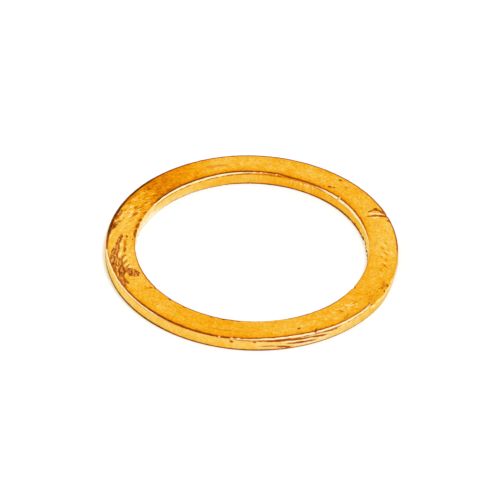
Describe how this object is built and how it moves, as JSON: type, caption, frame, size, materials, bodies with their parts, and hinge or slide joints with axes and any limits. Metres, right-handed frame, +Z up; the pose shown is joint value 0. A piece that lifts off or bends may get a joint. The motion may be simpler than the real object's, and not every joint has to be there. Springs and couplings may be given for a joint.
{
  "type": "copper crush washer",
  "caption": "Flat ring stamped from soft copper sheet, with die-rolled upper edges; it is crushed under a plug or union bolt to seal its thread.",
  "frame": {"origin": "centre of the bore on the ring's underside", "axes": "+Z up along the bore axis, towards the face with the die-rolled edges; X and Y lie in the underside"},
  "size_m": [0.03, 0.03, 0.0014],
  "materials": {
    "copper": "stamped soft copper with a golden handling film, pale burnished edges and brown tarnish patches"
  },
  "bodies": {
    "root": {"crush_washer": "copper"}
  },
  "joints": []
}
